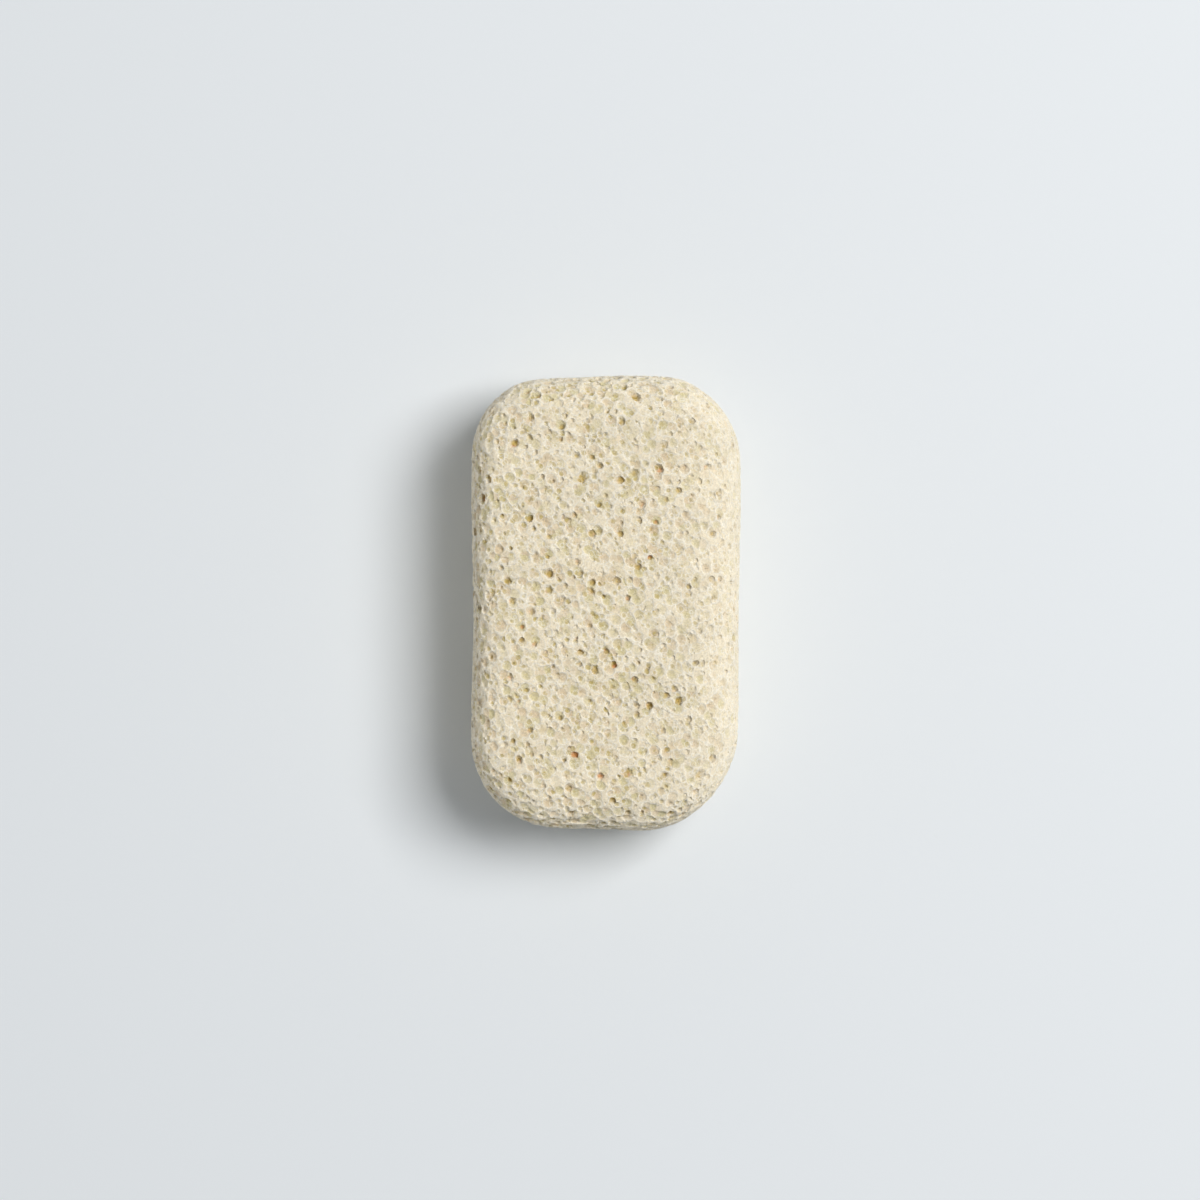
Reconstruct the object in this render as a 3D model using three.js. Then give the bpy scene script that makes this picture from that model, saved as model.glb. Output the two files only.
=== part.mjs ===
// A hand pumice: one natural stone, sawn to a bar and tumbled until its edges are round.
// It lies on a worn flat face. Millimetres, +Z up, +Y along its length, and the origin
// at the middle of its footprint, on the surface that it rests on.

import * as THREE from "three";

const stoneLength = 90;
const stoneWidth = 53.4;
const stoneHeight = 33;

// Radii of the four upright corners, seen from above. Tumbling wears each one differently.
const cornerRadii = { backRight: 15.5, backLeft: 14.2, frontLeft: 17, frontRight: 18.5 };

// The round between a broad face and a side is a quarter superellipse. It reaches this far in
// from each side, because one long side is worn much more than the other, and a larger
// exponent gives a squarer edge.
const edgeInsets = { right: 15, back: 13.5, left: 8, front: 12.5 };
const edgeExponent = 2.8;

const ringsPerEdge = 12;
const arcSteps = 9;
const longSideSteps = 12;
const shortSideSteps = 6;
const topRings = 5;
const baseRings = 2;

const topCrown = 1.4; // the top swells by this much at its middle
const backCrown = 1.2; // the back end swells by this much at its middle
const frontCrown = 0.9; // and the front end by this much
const sideTaper = 1.3; // the right side leans in by this much at the front end
const swellHeight = 0.24; // height of the gentle hollows and humps that tumbling leaves
const swellLength = 43; // and the length of one of them

// Corner centres and radii, counterclockwise from the front right.
const corners = [
  { sideX: 1, sideY: -1, radius: cornerRadii.frontRight, from: -90 },
  { sideX: 1, sideY: 1, radius: cornerRadii.backRight, from: 0 },
  { sideX: -1, sideY: 1, radius: cornerRadii.backLeft, from: 90 },
  { sideX: -1, sideY: -1, radius: cornerRadii.frontLeft, from: 180 },
].map((corner) => ({
  ...corner,
  x: corner.sideX * (stoneWidth / 2 - corner.radius),
  y: corner.sideY * (stoneLength / 2 - corner.radius),
}));

// How far the round reaches in where the side faces this way, blended round the corners.
function edgeInsetFacing(angle) {
  const across = Math.cos(angle) > 0 ? edgeInsets.right : edgeInsets.left;
  const along = Math.sin(angle) > 0 ? edgeInsets.back : edgeInsets.front;
  return across * Math.cos(angle) ** 2 + along * Math.sin(angle) ** 2;
}

// A point of a corner's arc, moved in by a share of the round's reach.
function cornerPoint(corner, angle, insetShare) {
  const radius = corner.radius - edgeInsetFacing(angle) * insetShare;
  return new THREE.Vector2(
    corner.x + radius * Math.cos(angle),
    corner.y + radius * Math.sin(angle),
  );
}

// The plan outline, moved in by a share of the round: four arcs and the sides between them.
function planOutline(insetShare) {
  const points = [];
  corners.forEach((corner, index) => {
    for (let step = 0; step <= arcSteps; step += 1) {
      const angle = THREE.MathUtils.degToRad(corner.from + (90 * step) / arcSteps);
      points.push(cornerPoint(corner, angle, insetShare));
    }
    const next = corners[(index + 1) % corners.length];
    const sideStart = points[points.length - 1];
    const sideEnd = cornerPoint(next, THREE.MathUtils.degToRad(next.from), insetShare);
    const sideSteps = index % 2 === 0 ? longSideSteps : shortSideSteps;
    for (let step = 1; step < sideSteps; step += 1) {
      points.push(sideStart.clone().lerp(sideEnd, step / sideSteps));
    }
  });
  return points;
}

// The rings of the stone from the rim of its base, round the side, to the rim of its top.
function edgeRings() {
  const rings = [];
  for (let step = -ringsPerEdge; step <= ringsPerEdge; step += 1) {
    const angle = ((Math.PI / 2) * step) / ringsPerEdge;
    const outwards = Math.cos(angle) ** (2 / edgeExponent);
    const upwards = Math.sign(angle) * Math.abs(Math.sin(angle)) ** (2 / edgeExponent);
    const height = (stoneHeight / 2) * (1 + upwards);
    const outline = planOutline(1 - outwards);
    rings.push(outline.map((point) => new THREE.Vector3(point.x, point.y, height)));
  }
  return rings;
}

// Rings of the same number of points that close a broad face, from its rim towards its middle.
function faceRings(rim, count) {
  const rings = [];
  for (let step = 1; step < count; step += 1) {
    const share = 1 - step / count;
    rings.push(rim.map((point) => new THREE.Vector3(point.x * share, point.y * share, point.z)));
  }
  return rings;
}

// The crowned faces, the leaning side and the swells that make the bar a natural stone.
// The base keeps its height, so that it stays flat.
function tumbled(point) {
  const acrossShare = point.x / (stoneWidth / 2);
  const alongShare = point.y / (stoneLength / 2);
  const upShare = point.z / stoneHeight;
  const phase = (2 * Math.PI) / swellLength;
  const { x, y, z } = point;
  const crown = topCrown * (1 - acrossShare ** 2) * (1 - alongShare ** 2);
  const endCrown = (y > 0 ? backCrown : frontCrown) * (1 - acrossShare ** 2);
  const topSwell = Math.sin(phase * (x + 0.6 * y)) * Math.cos(phase * (0.5 * y - 0.4 * x) + 0.8);
  const sideSwell = Math.sin(phase * (0.9 * y + 0.7 * z)) * Math.cos(phase * 0.6 * z + 1.9);
  const endSwell = Math.sin(phase * (1.1 * x - 0.5 * z) + 1.2);
  return new THREE.Vector3(
    x - sideTaper * Math.max(0, acrossShare) * Math.max(0, -alongShare) ** 1.5
      + swellHeight * acrossShare * sideSwell,
    y + alongShare * (endCrown + swellHeight * endSwell),
    z + upShare ** 4 * (crown - topCrown + swellHeight * topSwell),
  );
}

// Joins the rings into one closed skin, with a single point at the middle of each broad face.
function stoneGeometry() {
  const sides = edgeRings();
  const rings = [
    ...faceRings(sides[0], baseRings).reverse(),
    ...sides,
    ...faceRings(sides[sides.length - 1], topRings),
  ];
  const ringSize = rings[0].length;
  const points = [new THREE.Vector3(0, 0, 0), ...rings.flat(), new THREE.Vector3(0, 0, stoneHeight)];
  const lastPoint = points.length - 1;
  const triangles = [];
  for (let step = 0; step < ringSize; step += 1) {
    const next = (step + 1) % ringSize;
    triangles.push(0, 1 + next, 1 + step);
    for (let ring = 0; ring < rings.length - 1; ring += 1) {
      const lower = 1 + ring * ringSize;
      const upper = lower + ringSize;
      triangles.push(lower + step, lower + next, upper + next);
      triangles.push(lower + step, upper + next, upper + step);
    }
    const topRing = 1 + (rings.length - 1) * ringSize;
    triangles.push(topRing + step, topRing + next, lastPoint);
  }
  const geometry = new THREE.BufferGeometry().setFromPoints(points.map(tumbled));
  geometry.setIndex(triangles);
  return geometry;
}

// Scales the worn bar back to its stated size and puts the middle of its footprint at the origin.
function toStatedSize(geometry) {
  geometry.computeBoundingBox();
  const centre = geometry.boundingBox.getCenter(new THREE.Vector3());
  const size = geometry.boundingBox.getSize(new THREE.Vector3());
  geometry.translate(-centre.x, -centre.y, -geometry.boundingBox.min.z);
  geometry.scale(stoneWidth / size.x, stoneLength / size.y, stoneHeight / size.z);
  geometry.computeVertexNormals();
  return geometry;
}

const pumice = new THREE.MeshStandardMaterial({ color: 0xe8e0cc, roughness: 0.95, metalness: 0 });

const stone = new THREE.Mesh(toStatedSize(stoneGeometry()), pumice);
stone.name = "pumice_stone";

const part = new THREE.Group();
part.add(stone);

export default part;
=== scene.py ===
import math

import bmesh
import bpy
import numpy as np
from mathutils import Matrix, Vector
from mathutils.bvhtree import BVHTree
from mathutils.kdtree import KDTree


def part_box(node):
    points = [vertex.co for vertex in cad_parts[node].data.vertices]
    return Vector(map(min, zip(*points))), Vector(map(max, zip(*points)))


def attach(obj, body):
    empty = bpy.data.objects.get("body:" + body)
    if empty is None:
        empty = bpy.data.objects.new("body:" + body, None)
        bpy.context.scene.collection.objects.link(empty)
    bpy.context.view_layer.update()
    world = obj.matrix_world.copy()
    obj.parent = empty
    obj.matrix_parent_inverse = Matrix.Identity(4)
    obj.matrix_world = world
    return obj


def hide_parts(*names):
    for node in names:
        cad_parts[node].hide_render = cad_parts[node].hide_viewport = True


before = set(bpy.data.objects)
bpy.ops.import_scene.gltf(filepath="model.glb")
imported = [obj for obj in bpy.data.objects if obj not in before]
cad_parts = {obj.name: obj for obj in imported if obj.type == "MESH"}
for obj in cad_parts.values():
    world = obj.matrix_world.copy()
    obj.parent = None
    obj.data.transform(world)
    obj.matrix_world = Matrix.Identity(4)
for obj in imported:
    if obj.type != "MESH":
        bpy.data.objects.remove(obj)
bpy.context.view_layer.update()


# ---------------------------------------------------------------- the tabletop
# The stone lies on a plain matt sheet, pale with a cool cast. It is one flat
# plane that runs out of sight on every side.
stone_low, stone_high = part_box("pumice_stone")
stone_length = stone_high[1] - stone_low[1]
SHEET_SIDE = 30 * stone_length
SHEET_COLOUR = (0.835, 0.87, 0.905, 1)
SHEET_ROUGHNESS = 0.9
MATT_SHINE = 0.2

bpy.ops.object.select_all(action="DESELECT")
bpy.ops.mesh.primitive_plane_add(size=SHEET_SIDE, location=(0, 0, stone_low[2]))
tabletop = bpy.context.object
tabletop.name = "tabletop"

pale_sheet = bpy.data.materials.new("pale_sheet")
pale_sheet.use_nodes = True
sheet_shader = pale_sheet.node_tree.nodes["Principled BSDF"]
sheet_shader.inputs["Base Color"].default_value = SHEET_COLOUR
sheet_shader.inputs["Roughness"].default_value = SHEET_ROUGHNESS
sheet_shader.inputs["Specular IOR Level"].default_value = MATT_SHINE
tabletop.data.materials.append(pale_sheet)


# ------------------------------------------------------------ light and camera
# A wide soft lamp stands high on the right, and a low one on the left lights the
# stone alone. A pale sky, brighter low down as in a white room, fills the
# shadows. The camera looks straight down through a long lens.
MM = 0.001
SKY_COLOUR = (0.93, 0.97, 1.0, 1)
SKY_OVERHEAD = 0.225
SKY_LOW_DOWN = 0.50
SKY_FADES_UP_TO = 0.7
LAMPS = {
    "window": {"place": Vector((0.83, 0.39, 1.62)), "side": 0.85, "power": 27.4},
    "white_card": {"place": Vector((-1.0, -0.12, 0.27)), "side": 0.4, "power": 3.4},
}
LAMP_COLOUR = (1.0, 0.985, 0.96)
CAMERA_DISTANCE = 1.3
VIEW_WIDTH = 0.2368
SENSOR_WIDTH = 36
SEES_FROM = 0.01
SEES_TO = 20
stone_middle = Vector(stone_low).lerp(Vector(stone_high), 0.5)
STONE_OFF_CENTRE = Vector((1.2 * MM, -0.6 * MM, 0))

soft_sky = bpy.data.worlds.new("soft_sky")
soft_sky.use_nodes = True
sky_light = soft_sky.node_tree.nodes["Background"]
sky_light.inputs["Color"].default_value = SKY_COLOUR
sky_way = soft_sky.node_tree.nodes.new("ShaderNodeTexCoord")
sky_height = soft_sky.node_tree.nodes.new("ShaderNodeSeparateXYZ")
sky_fade = soft_sky.node_tree.nodes.new("ShaderNodeMapRange")
sky_fade.inputs["From Max"].default_value = SKY_FADES_UP_TO
sky_fade.inputs["To Min"].default_value = SKY_LOW_DOWN
sky_fade.inputs["To Max"].default_value = SKY_OVERHEAD
soft_sky.node_tree.links.new(sky_way.outputs["Generated"], sky_height.inputs[0])
soft_sky.node_tree.links.new(sky_height.outputs["Z"], sky_fade.inputs["Value"])
soft_sky.node_tree.links.new(sky_fade.outputs["Result"], sky_light.inputs["Strength"])
bpy.context.scene.world = soft_sky

for name, setup in LAMPS.items():
    lamp = bpy.data.lights.new(name, "AREA")
    lamp.size = setup["side"]
    lamp.energy = setup["power"]
    lamp.color = LAMP_COLOUR
    holder = bpy.data.objects.new(name, lamp)
    holder.location = setup["place"]
    holder.rotation_euler = (-setup["place"]).to_track_quat("-Z", "Y").to_euler()
    bpy.context.scene.collection.objects.link(holder)
lit_by_card = bpy.data.collections.new("lit_by_card")
bpy.data.objects["white_card"].light_linking.receiver_collection = lit_by_card

lens = bpy.data.cameras.new("overhead")
lens.sensor_width = SENSOR_WIDTH
lens.lens = SENSOR_WIDTH * CAMERA_DISTANCE / VIEW_WIDTH
lens.clip_start = SEES_FROM
lens.clip_end = SEES_TO
camera = bpy.data.objects.new("overhead", lens)
camera.location = stone_middle - STONE_OFF_CENTRE + Vector((0, 0, CAMERA_DISTANCE))
bpy.context.scene.collection.objects.link(camera)
bpy.context.scene.camera = camera
bpy.context.scene.view_settings.view_transform = "Standard"


# ------------------------------------------------------------ the pumice stone
# A lump of volcanic glass foam, sawn to a bar and tumbled. Wear has cut its bubbles
# open: shallow round dishes cover the skin and deeper pores reach in below them.
# The bar is remeshed evenly, the dishes are sunk into it and the pores cut out.
SEED = 41
rng = np.random.default_rng(SEED)

# The bubbles that wear has cut open, widest first. Spacing is from one to the
# next, radius and depth are shares of the spacing, and kept is the share of the
# bubbles that are there. The shallowest is cut this share as deep as the deepest.
FOAM = [
    {"spacing": 1.75 * MM, "radius": 0.60, "depth": 0.54, "kept": 1.0, "shallowest": 0.3},
    {"spacing": 1.20 * MM, "radius": 0.49, "depth": 0.92, "kept": 0.50, "shallowest": 0.4},
    {"spacing": 0.78 * MM, "radius": 0.44, "depth": 0.80, "kept": 0.40, "shallowest": 0.5},
]

# Each size of bubble is laid out this much further off along X, and two and three
# times as much along Y and Z, so that no two sizes keep step with each other.
BETWEEN_SIZES = 31 * MM

# The lava's flow drew the bubbles out along one diagonal, and they are dented.
FLOW_ANGLE = math.radians(-38)
FLOW_STRETCH = (1.0, 0.88, 0.94)
DENT_SIZE = 0.8 * MM
DENT_REACH = 0.2 * MM

# Noise runs from 0 to 1, and lies mostly between these two.
NOISE_LOW = 0.25
NOISE_HIGH = 0.75

# Gentle swells lie between the dishes. Wear has left a smaller share of all this
# relief below a low height, and on the right side.
SWELL_SIZE = 5 * MM
SWELL_HEIGHT = 0.2 * MM
WORN_UNDER = 5 * MM
UNDER_SHARE = 0.3
WORN_RIGHT_FROM = 5 * MM
RIGHT_SHARE = 0.58


def add_node(tree, kind, settings=None, values=None, links=None):
    """Adds a node with its settings, the values of its sockets and what feeds them."""
    node = tree.nodes.new(kind)
    for name, setting in (settings or {}).items():
        setattr(node, name, setting)
    for name, value in (values or {}).items():
        node.inputs[name].default_value = value
    for name, feed in (links or {}).items():
        tree.links.new(feed, node.inputs[name])
    return node


def sum_up(tree, operation, *values):
    """One step of arithmetic on numbers or sockets."""
    node = add_node(tree, "ShaderNodeMath", {"operation": operation})
    for index, value in enumerate(values):
        if isinstance(value, bpy.types.NodeSocket):
            tree.links.new(value, node.inputs[index])
        else:
            node.inputs[index].default_value = value
    return node.outputs[0]


def ramp(tree, value, low, high, to_low=0.0, to_high=1.0, kind="SMOOTHSTEP"):
    """Maps a socket from one range to another and holds it at both ends."""
    ends = {"From Min": low, "From Max": high, "To Min": to_low, "To Max": to_high}
    node = add_node(tree, "ShaderNodeMapRange", {"interpolation_type": kind}, ends, {"Value": value})
    return node.outputs["Result"]


def lumps(tree, place, size, detail=0.0, roughness=0.5):
    """Noise whose lumps are about this size."""
    values = {"Scale": 1 / size, "Detail": detail, "Roughness": roughness}
    return add_node(tree, "ShaderNodeTexNoise", None, values, {"Vector": place})


def reckon(tree, operation, one, other):
    """One step of arithmetic on places: a socket with a socket, a triple or a scale."""
    node = add_node(tree, "ShaderNodeVectorMath", {"operation": operation}, None, {0: one})
    if isinstance(other, bpy.types.NodeSocket):
        tree.links.new(other, node.inputs[1])
    elif operation == "SCALE":
        node.inputs["Scale"].default_value = other
    else:
        node.inputs[1].default_value = other
    return node.outputs[0]


def dented(tree, place, size, reach):
    """Moves a place about, so that round bubbles come out dented."""
    wander = lumps(tree, place, size, detail=2.0, roughness=0.6).outputs["Color"]
    level = reckon(tree, "SUBTRACT", wander, (0.5, 0.5, 0.5))
    return reckon(tree, "ADD", place, reckon(tree, "SCALE", level, 2 * reach))


def cut_bubbles(tree, place, bubbles):
    """One size of bubble at a place.

    Gives the depth of the cut in metres, how far inside the rim the place is,
    whether the bubble is there, and three chance values that it has to itself.
    """
    scale = {"Scale": 1 / bubbles["spacing"]}
    near = add_node(tree, "ShaderNodeTexVoronoi", {"feature": "F1"}, scale, {"Vector": place})
    chance = add_node(tree, "ShaderNodeSeparateXYZ", None, None, {0: near.outputs["Color"]})
    first_kept = 1 - bubbles["kept"]
    there = sum_up(tree, "GREATER_THAN", chance.outputs[0], first_kept)
    share = ramp(tree, chance.outputs[0], first_kept, 1.0, bubbles["shallowest"], 1.0, "LINEAR")
    away = near.outputs["Distance"]
    inside = sum_up(tree, "SUBTRACT", bubbles["radius"] ** 2, sum_up(tree, "MULTIPLY", away, away))
    bowl = sum_up(tree, "SQRT", sum_up(tree, "MAXIMUM", inside, 0.0))
    deepest = bubbles["depth"] * bubbles["spacing"]
    own_depth = sum_up(tree, "MULTIPLY", bowl, share)
    depth = sum_up(tree, "MULTIPLY", own_depth, sum_up(tree, "MULTIPLY", there, deepest))
    return depth, inside, there, chance


def relief_left(tree, place):
    """The share of the relief that wear has left: less underneath, and less on the right side."""
    along = add_node(tree, "ShaderNodeSeparateXYZ", None, None, {0: place})
    under = ramp(tree, along.outputs[2], stone_low[2], stone_low[2] + WORN_UNDER, UNDER_SHARE, 1.0)
    right = ramp(tree, along.outputs[0], WORN_RIGHT_FROM, stone_high[0], 1.0, RIGHT_SHARE)
    return sum_up(tree, "MULTIPLY", under, right)


def worn_foam(tree, place):
    """Every size of cut bubble at a place, and the deepest cut of them all."""
    left = relief_left(tree, place)
    dented_place = dented(tree, place, DENT_SIZE, DENT_REACH)
    turned = add_node(
        tree, "ShaderNodeVectorRotate", {"rotation_type": "Z_AXIS"}, {"Angle": FLOW_ANGLE},
        {"Vector": dented_place},
    )
    drawn_out = reckon(tree, "MULTIPLY", turned.outputs[0], FLOW_STRETCH)
    cuts = []
    for index, bubbles in enumerate(FOAM):
        apart = BETWEEN_SIZES * (index + 1)
        spot = reckon(tree, "ADD", drawn_out, (apart, 2 * apart, 3 * apart))
        depth, *others = cut_bubbles(tree, spot, bubbles)
        cuts.append((sum_up(tree, "MULTIPLY", depth, left), *others))
    deepest = cuts[0][0]
    for cut in cuts[1:]:
        deepest = sum_up(tree, "MAXIMUM", deepest, cut[0])
    return cuts, deepest


def apply_modifier(piece, kind, **settings):
    """Adds a modifier to a piece and applies it."""
    bpy.context.view_layer.objects.active = piece
    modifier = piece.modifiers.new(kind, kind)
    for name, setting in settings.items():
        setattr(modifier, name, setting)
    bpy.ops.object.modifier_apply(modifier=modifier.name)


def corner_places(mesh):
    """The places of a mesh's vertices, one row each."""
    places = np.empty(3 * len(mesh.vertices), np.float32)
    mesh.vertices.foreach_get("co", places)
    return places.reshape(-1, 3).astype(float)


# The tumbled bar: the solid's own shape, rounded off and remeshed evenly.
GRID = 0.22 * MM
SAME_PLACE = 0.001 * MM
ROUNDINGS = 2
bpy.ops.object.select_all(action="DESELECT")
solid = bpy.data.objects["pumice_stone"]
stone = solid.copy()
stone.data = solid.data.copy()
stone.name = "porous_stone"
bpy.context.scene.collection.objects.link(stone)
stone.select_set(True)
bpy.context.view_layer.objects.active = stone
bpy.ops.object.mode_set(mode="EDIT")
bpy.ops.mesh.select_all(action="SELECT")
bpy.ops.mesh.remove_doubles(threshold=SAME_PLACE)
bpy.ops.object.mode_set(mode="OBJECT")
stone.data.materials.clear()
apply_modifier(stone, "SUBSURF", levels=ROUNDINGS, render_levels=ROUNDINGS)
apply_modifier(stone, "REMESH", mode="VOXEL", voxel_size=GRID, adaptivity=0)
smooth_skin = BVHTree.FromObject(stone, bpy.context.evaluated_depsgraph_get())

# The smooth skin as triangles, to pick even places for the mouths of the pores.
stone.data.calc_loop_triangles()
triangles = np.empty(3 * len(stone.data.loop_triangles), np.int32)
stone.data.loop_triangles.foreach_get("vertices", triangles)
smooth_places = corner_places(stone.data)
first, second, third = (smooth_places[corner] for corner in triangles.reshape(-1, 3).T)
crossed = np.cross(second - first, third - first)
doubled_areas = np.linalg.norm(crossed, axis=1)
area_shares = doubled_areas / doubled_areas.sum()
outwards = crossed / doubled_areas[:, None]


def on_skin(count):
    """Random places on the smooth skin, with the way out at each."""
    picked = rng.choice(len(area_shares), count, p=area_shares)
    across, along = rng.random((2, count, 1))
    folded = across + along > 1
    across = np.where(folded, 1 - across, across)
    along = np.where(folded, 1 - along, along)
    towards_second = across * (second - first)[picked]
    towards_third = along * (third - first)[picked]
    return first[picked] + towards_second + towards_third, outwards[picked]


def relief_tree(name, sink):
    """A modifier tree that sinks the skin by what sink gives for a place."""
    tree = bpy.data.node_groups.new(name, "GeometryNodeTree")
    tree.interface.new_socket("Geometry", in_out="INPUT", socket_type="NodeSocketGeometry")
    tree.interface.new_socket("Geometry", in_out="OUTPUT", socket_type="NodeSocketGeometry")
    source = tree.nodes.new("NodeGroupInput")
    result = tree.nodes.new("NodeGroupOutput")
    place = tree.nodes.new("GeometryNodeInputPosition").outputs[0]
    normal = tree.nodes.new("GeometryNodeInputNormal").outputs[0]
    inwards = sum_up(tree, "MULTIPLY", sink(tree, place), -1.0)
    push = add_node(
        tree, "ShaderNodeVectorMath", {"operation": "SCALE"}, None, {0: normal, "Scale": inwards}
    )
    shift = {"Geometry": source.outputs[0], "Offset": push.outputs[0]}
    moved = add_node(tree, "GeometryNodeSetPosition", None, None, shift)
    tree.links.new(moved.outputs[0], result.inputs[0])
    return tree


def wear(tree, place):
    """The depth of the cut bubbles, with the gentle swells between them."""
    _, deepest = worn_foam(tree, place)
    swells = lumps(tree, place, SWELL_SIZE, detail=1.0).outputs[0]
    swell = ramp(tree, swells, NOISE_LOW, NOISE_HIGH, 0.0, SWELL_HEIGHT, "LINEAR")
    return sum_up(tree, "ADD", deepest, sum_up(tree, "MULTIPLY", swell, relief_left(tree, place)))


apply_modifier(stone, "NODES", node_group=relief_tree("worn_foam", wear))
relieved_skin = BVHTree.FromObject(stone, bpy.context.evaluated_depsgraph_get())

# The deep pores: bubbles that reach in below the worn skin. Each row is the least
# and the greatest radius of a mouth, and how many are tried at that size.
PORES = [
    (0.95 * MM, 1.15 * MM, 20),
    (0.62 * MM, 0.85 * MM, 520),
    (0.42 * MM, 0.62 * MM, 1500),
    (0.28 * MM, 0.42 * MM, 1500),
]

# Two mouths are at least this many times their radii apart. A bubble's centre lies
# above the skin by a share of its radius, or below it by a negative one. Bubbles
# are stretched between two shares, and dented by a share, up to twice that.
APART = 1.1
LIFTS = (-0.2, 0.55)
PORE_STRETCH = (0.82, 1.22)
PORE_DENTS = 0.10
MOST_DENTS = 2

# The worn skin is looked for from this far off the smooth one, over this length.
OFF_SKIN = 2 * MM
LOOK_OVER = 5 * MM


def spaced_out(places, radii):
    """The pores that keep clear of every wider one, by number."""
    tree = KDTree(len(places))
    for index, place in enumerate(places):
        tree.insert(place, index)
    tree.balance()
    kept = np.ones(len(places), bool)
    for index, place in enumerate(places):
        for _, other, gap in tree.find_range(place, APART * (radii[index] + radii[0])):
            if other < index and kept[other] and gap < APART * (radii[index] + radii[other]):
                kept[index] = False
                break
    return np.nonzero(kept)[0]


mouth_radii = np.concatenate([rng.uniform(least, greatest, tried) for least, greatest, tried in PORES])
mouth_radii = np.sort(mouth_radii)[::-1]
mouths, ways = on_skin(len(mouth_radii))
clear = spaced_out(mouths, mouth_radii)
mouths, ways, mouth_radii = mouths[clear], ways[clear], mouth_radii[clear]
for index, (mouth, way) in enumerate(zip(mouths, ways)):
    struck = relieved_skin.ray_cast(Vector(mouth + way * OFF_SKIN), Vector(-way), LOOK_OVER)[0]
    if struck is not None:
        mouths[index] = struck
lifts = rng.uniform(*LIFTS, len(mouths))
pore_radii = mouth_radii / np.sqrt(1 - lifts ** 2)
pore_centres = mouths + ways * (lifts * pore_radii)[:, None]

# No two pores of a batch touch, so a whole batch is cut out in one go.
reach = PORE_STRETCH[1] + MOST_DENTS * PORE_DENTS
batch = np.full(len(pore_radii), -1)
pore_tree = KDTree(len(pore_radii))
for index, centre in enumerate(pore_centres):
    pore_tree.insert(centre, index)
pore_tree.balance()
widest = pore_radii.max()
for index in np.argsort(-pore_radii):
    taken = {
        batch[other]
        for _, other, gap in pore_tree.find_range(pore_centres[index], reach * (pore_radii[index] + widest))
        if other != index and gap < reach * (pore_radii[index] + pore_radii[other])
    }
    batch[index] = next(number for number in range(len(taken) + 1) if number not in taken)


def round_shape(subdivisions):
    """The corners and triangles of a unit ball."""
    bpy.ops.mesh.primitive_ico_sphere_add(subdivisions=subdivisions, radius=1)
    ball = bpy.context.object
    corners = corner_places(ball.data)
    faces = np.array([face.vertices[:] for face in ball.data.polygons])
    bpy.data.objects.remove(ball)
    return corners, faces


def random_turns(count):
    """Random rotations, one matrix each."""
    quaternions = rng.normal(size=(4, count))
    w, x, y, z = quaternions / np.linalg.norm(quaternions, axis=0)
    rows = [
        1 - 2 * (y * y + z * z), 2 * (x * y - z * w), 2 * (x * z + y * w),
        2 * (x * y + z * w), 1 - 2 * (x * x + z * z), 2 * (y * z - x * w),
        2 * (x * z - y * w), 2 * (y * z + x * w), 1 - 2 * (x * x + y * y),
    ]
    return np.stack(rows, 1).reshape(-1, 3, 3)


# A wide pore is cut with a finer ball than a small one.
FINE_BALL_FROM = 0.6 * MM
COARSE_BALL = 2
FINE_BALL = 3
ball_shapes = {False: round_shape(COARSE_BALL), True: round_shape(FINE_BALL)}


def pore_mesh(numbers):
    """One object that holds the dented, stretched bubbles of these pores."""
    all_corners = []
    all_faces = []
    start = 0
    for is_fine, (corners, faces) in ball_shapes.items():
        here = numbers[(pore_radii[numbers] > FINE_BALL_FROM) == is_fine]
        if len(here) == 0:
            continue
        bulges = rng.normal(size=(len(here), len(corners), 1))
        dents = 1 + PORE_DENTS * bulges.clip(-MOST_DENTS, MOST_DENTS)
        stretch = rng.uniform(*PORE_STRETCH, (len(here), 1, 3))
        turned = np.einsum("nij,nkj->nki", random_turns(len(here)), corners[None] * stretch * dents)
        placed = turned * pore_radii[here][:, None, None] + pore_centres[here][:, None, :]
        all_corners.append(placed.reshape(-1, 3))
        shift = start + np.arange(len(here)) * len(corners)
        all_faces.append((faces[None] + shift[:, None, None]).reshape(-1, 3))
        start += len(here) * len(corners)
    mesh = bpy.data.meshes.new("pores")
    mesh.from_pydata(np.concatenate(all_corners).tolist(), [], np.concatenate(all_faces).tolist())
    pores = bpy.data.objects.new("pores", mesh)
    bpy.context.scene.collection.objects.link(pores)
    return pores


for number in range(batch.max() + 1):
    pores = pore_mesh(np.nonzero(batch == number)[0])
    apply_modifier(stone, "BOOLEAN", operation="DIFFERENCE", solver="MANIFOLD", object=pores)
    bpy.data.objects.remove(pores)

# Scraps that a cut has freed fall off, and the broken walls crumble a little.
CRUMB_SIZE = 0.5 * MM
CRUMBLE = 0.07 * MM


def drop_scraps(mesh):
    """Deletes all but the largest joined-up part of a mesh."""
    shell = bmesh.new()
    shell.from_mesh(mesh)
    left = set(shell.verts)
    parts = []
    while left:
        part = [left.pop()]
        for vertex in part:
            for edge in vertex.link_edges:
                other = edge.other_vert(vertex)
                if other in left:
                    left.discard(other)
                    part.append(other)
        parts.append(part)
    parts.sort(key=len)
    bmesh.ops.delete(shell, geom=[vertex for part in parts[:-1] for vertex in part], context="VERTS")
    shell.to_mesh(mesh)
    shell.free()


def crumble(tree, place):
    """A little off here and a little on there."""
    crumbs = lumps(tree, place, CRUMB_SIZE, detail=1.0, roughness=0.6).outputs[0]
    return ramp(tree, crumbs, NOISE_LOW, NOISE_HIGH, -CRUMBLE / 2, CRUMBLE, "LINEAR")


drop_scraps(stone.data)
apply_modifier(stone, "NODES", node_group=relief_tree("crumbled_walls", crumble))

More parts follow.
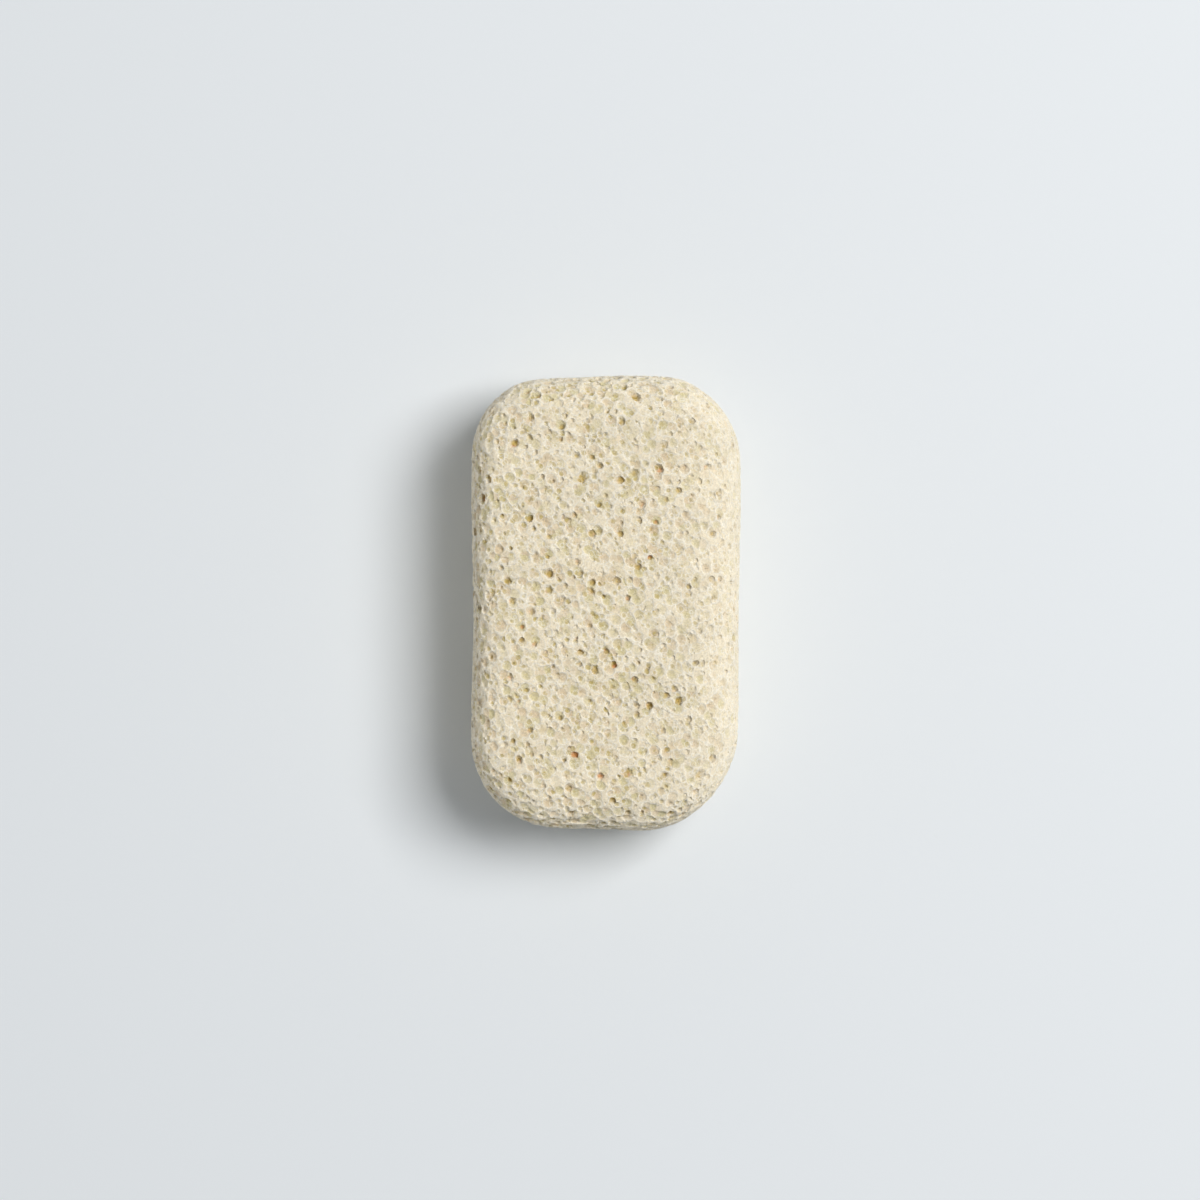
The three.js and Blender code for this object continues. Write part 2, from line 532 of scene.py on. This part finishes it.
# Thinned to what one piece may hold, which leaves a few flaps and pinches to close.
MOST_TRIANGLES = 197_000
MOST_REPAIRS = 6
SHARP_FROM = math.radians(50)


def close_up(mesh):
    """Takes off flaps with a free edge, reopens and refills pinched spots, and drops what is loose."""
    shell = bmesh.new()
    shell.from_mesh(mesh)
    for _ in range(MOST_REPAIRS):
        flaps = {face for edge in shell.edges if edge.is_boundary for face in edge.link_faces}
        while flaps:
            bmesh.ops.delete(shell, geom=list(flaps), context="FACES")
            flaps = {face for edge in shell.edges if edge.is_boundary for face in edge.link_faces}
        pinched = {vertex for edge in shell.edges if len(edge.link_faces) > 2 for vertex in edge.verts}
        pinched |= {vertex for vertex in shell.verts if vertex.link_faces and not vertex.is_manifold}
        if not pinched:
            break
        bmesh.ops.delete(shell, geom=list(pinched), context="VERTS")
        rims = [edge for edge in shell.edges if edge.is_boundary]
        lids = bmesh.ops.holes_fill(shell, edges=rims, sides=0)["faces"]
        bmesh.ops.triangulate(shell, faces=lids)
    loose = [vertex for vertex in shell.verts if not vertex.link_faces]
    bmesh.ops.delete(shell, geom=loose, context="VERTS")
    bmesh.ops.recalc_face_normals(shell, faces=shell.faces[:])
    shell.to_mesh(mesh)
    shell.free()


apply_modifier(stone, "TRIANGULATE")
apply_modifier(
    stone, "DECIMATE", ratio=MOST_TRIANGLES / len(stone.data.polygons), use_collapse_triangulate=True
)
close_up(stone.data)
bpy.ops.object.select_all(action="DESELECT")
stone.select_set(True)
bpy.context.view_layer.objects.active = stone
bpy.ops.object.shade_smooth_by_angle(angle=SHARP_FROM)

# Each vertex keeps its place on the smooth skin, which lines the finish up with
# the relief, and how far below that skin it lies.
skin_places = []
depths = []
for place in corner_places(stone.data):
    nearest, outward, _, _ = smooth_skin.find_nearest(Vector(place))
    skin_places.append(nearest)
    depths.append((nearest - Vector(place)).dot(outward))
place_layer = stone.data.attributes.new("skin_place", "FLOAT_VECTOR", "POINT")
place_layer.data.foreach_set("vector", np.array(skin_places, np.float32).ravel())
depth_layer = stone.data.attributes.new("depth", "FLOAT", "POINT")
depth_layer.data.foreach_set("value", np.array(depths, np.float32))

# The finish: cream glass foam with thin pale walls, pinkish or greenish in its dishes, khaki in the small
# pores, olive or rust deep down, and a rough broken grain all over. The tints grow darker with depth,
# partly the foam's own colour and partly painted shade, and the pale walls carry a painted highlight on top
# of their worn glass.
WALL = (0.935, 0.855, 0.685, 1)
PALE_BRINK_AND_HIGHLIGHT = (0.985, 0.95, 0.86, 1)
PINK_DISH = (0.84, 0.71, 0.50, 1)
GREEN_DISH = (0.79, 0.71, 0.44, 1)
KHAKI = (0.66, 0.54, 0.22, 1)
OLIVE = (0.69, 0.52, 0.17, 1)
RUST = (0.80, 0.44, 0.19, 1)
STONE_ROUGHNESS = 0.95

# The depths between which each tint comes in: of the wide, the middling and the small bubbles, and of the
# stone below its smooth skin. Deeper places take the darker tints, which is partly painted shade.
DISH_TINT = (0.04 * MM, 0.46 * MM)
MIDDLING_TINT = (0.10 * MM, 0.52 * MM)
SMALL_TINT = (0.05 * MM, 0.26 * MM)
PORE_TINT = (0.65 * MM, 1.35 * MM)
MIDDLING_SHARE = 0.9
SMALL_SHARE = 0.65

# A colour mix's own sockets: the share, the two colours and the result.
MIX_SHARE, MIX_ONE, MIX_OTHER = 0, 6, 7
MIX_RESULT = 2


def blended(tree, share, one, other, mode="MIX"):
    """Two colours mixed by a share, each a value or a socket."""
    node = add_node(tree, "ShaderNodeMix", {"data_type": "RGBA", "blend_type": mode, "clamp_factor": True})
    for index, value in ((MIX_SHARE, share), (MIX_ONE, one), (MIX_OTHER, other)):
        if isinstance(value, bpy.types.NodeSocket):
            tree.links.new(value, node.inputs[index])
        else:
            node.inputs[index].default_value = value
    return node.outputs[MIX_RESULT]


def brink(tree, inside, there, width):
    """1 just outside the rim of the cut bubbles of one size, 0 away from it."""
    off_rim = sum_up(tree, "ABSOLUTE", sum_up(tree, "ADD", inside, width / 3))
    return sum_up(tree, "MULTIPLY", ramp(tree, off_rim, 0.0, width, 1.0, 0.0), there)


pumice = bpy.data.materials.new("pumice")
pumice.use_nodes = True
finish = pumice.node_tree
stone_shader = finish.nodes["Principled BSDF"]
stone_shader.inputs["Roughness"].default_value = STONE_ROUGHNESS
stone_shader.inputs["Diffuse Roughness"].default_value = 1.0
stone_shader.inputs["Specular IOR Level"].default_value = MATT_SHINE

skin_place = add_node(finish, "ShaderNodeAttribute", {"attribute_name": "skin_place"}).outputs["Vector"]
depth = add_node(finish, "ShaderNodeAttribute", {"attribute_name": "depth"}).outputs["Fac"]
place = add_node(finish, "ShaderNodeTexCoord").outputs["Object"]
cuts, deepest = worn_foam(finish, skin_place)
wide, wide_inside, wide_there, wide_chance = cuts[0]
middling, middling_inside, middling_there, _ = cuts[1]
small = cuts[2][0]

# A wide dish is pinkish below the first chance, greenish above the second.
PINK_TO_GREEN = (0.35, 0.65)
greenish = ramp(finish, wide_chance.outputs[1], *PINK_TO_GREEN)
dish_colour = blended(finish, greenish, PINK_DISH, GREEN_DISH)
# Deep in a wide dish its darker tint comes in, partly the dish's own colour and partly painted shade.
dish_tint_and_shade = ramp(finish, wide, *DISH_TINT)
skin_colour = blended(finish, dish_tint_and_shade, WALL, dish_colour)
# The khaki of the middling and small pores comes in with depth, partly their own colour and partly painted
# shade.
middling_tint_and_shade = ramp(finish, middling, *MIDDLING_TINT, 0.0, MIDDLING_SHARE)
skin_colour = blended(finish, middling_tint_and_shade, skin_colour, KHAKI)
small_tint_and_shade = ramp(finish, small, *SMALL_TINT, 0.0, SMALL_SHARE)
skin_colour = blended(finish, small_tint_and_shade, skin_colour, KHAKI)

# Rust stains some of the pores, in patches a few pores wide.
RUST_SIZE = 2.6 * MM
RUST_EDGE = (0.575, 0.635)
stain = lumps(finish, skin_place, RUST_SIZE, detail=1.0).outputs[0]
rusty = ramp(finish, stain, *RUST_EDGE)
pore_colour = blended(finish, rusty, OLIVE, RUST)
# Deep below the skin the pores turn olive or rust: partly their own stain and partly painted shade.
pore_stain_and_shade = ramp(finish, depth, *PORE_TINT)
skin_colour = blended(finish, pore_stain_and_shade, skin_colour, pore_colour)

# Thin bright broken walls: the rims of the dishes, and threads of glass on top, paler partly as worn glass
# and partly as a painted highlight.
RIM_WIDTH = 0.09
THREAD_SIZE = 0.75 * MM
THREAD_WIDTH = 0.03
THREAD_SHARE = 0.7
WALL_TOPS = (0.5 * MM, 0.95 * MM)
BRINK_AND_HIGHLIGHT_STRENGTH = 0.8
wander = lumps(finish, place, THREAD_SIZE, detail=2.0, roughness=0.6).outputs[0]
off_thread = sum_up(finish, "ABSOLUTE", sum_up(finish, "SUBTRACT", wander, 0.5))
threads = ramp(finish, off_thread, 0.0, THREAD_WIDTH, THREAD_SHARE, 0.0)
wide_rims = brink(finish, wide_inside, wide_there, RIM_WIDTH)
middling_rims = brink(finish, middling_inside, middling_there, RIM_WIDTH)
rims = sum_up(finish, "MAXIMUM", wide_rims, middling_rims)
not_deep = ramp(finish, depth, *WALL_TOPS, 1.0, 0.0)
# The pale colour on rims and threads is partly worn glass and partly a painted highlight, kept off the deep
# places.
edge_and_highlight_mask = sum_up(finish, "MULTIPLY", sum_up(finish, "MAXIMUM", threads, rims), not_deep)
brink_and_highlight_share = sum_up(finish, "MULTIPLY", edge_and_highlight_mask, BRINK_AND_HIGHLIGHT_STRENGTH)
skin_colour = blended(finish, brink_and_highlight_share, skin_colour, PALE_BRINK_AND_HIGHLIGHT)

# Fine specks and faint broad patches, lighter and darker.
SPECK_SIZE = 0.40 * MM
SPECK_NOISE = (0.32, 0.68)
SPECK_TONES = (0.83, 1.07)
PATCH_SIZE = 9 * MM
PATCH_NOISE = (0.3, 0.7)
PATCH_TONES = (0.97, 1.03)
speck = lumps(finish, place, SPECK_SIZE, detail=3.0, roughness=0.7).outputs[0]
patch = lumps(finish, place, PATCH_SIZE, detail=2.0).outputs[0]
speck_tone = ramp(finish, speck, *SPECK_NOISE, *SPECK_TONES, "LINEAR")
patch_tone = ramp(finish, patch, *PATCH_NOISE, *PATCH_TONES, "LINEAR")
tone = sum_up(finish, "MULTIPLY", speck_tone, patch_tone)
tone_colour = add_node(finish, "ShaderNodeCombineXYZ", None, None, {0: tone, 1: tone, 2: tone}).outputs[0]
skin_colour = blended(finish, 1.0, skin_colour, tone_colour, "MULTIPLY")
finish.links.new(skin_colour, stone_shader.inputs["Base Color"])

# Relief finer than the mesh holds: the crisp lips of the dishes and the grain.
LIP_SHARE = 0.6
GRAIN_HEIGHT = 0.32 * MM
THREAD_HEIGHT = 0.07 * MM
lips = sum_up(finish, "MULTIPLY", deepest, -LIP_SHARE)
grain = sum_up(finish, "MULTIPLY", speck, GRAIN_HEIGHT)
raised_threads = sum_up(finish, "MULTIPLY", threads, THREAD_HEIGHT)
raised = sum_up(finish, "ADD", sum_up(finish, "ADD", lips, grain), raised_threads)
bump = add_node(finish, "ShaderNodeBump", None, {"Distance": 1.0}, {"Height": raised})
finish.links.new(bump.outputs[0], stone_shader.inputs["Normal"])

stone.data.materials.clear()
stone.data.materials.append(pumice)
stone.data.polygons.foreach_set("material_index", np.zeros(len(stone.data.polygons), np.int32))

lit_by_card.objects.link(stone)

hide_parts("pumice_stone")
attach(stone, "root")
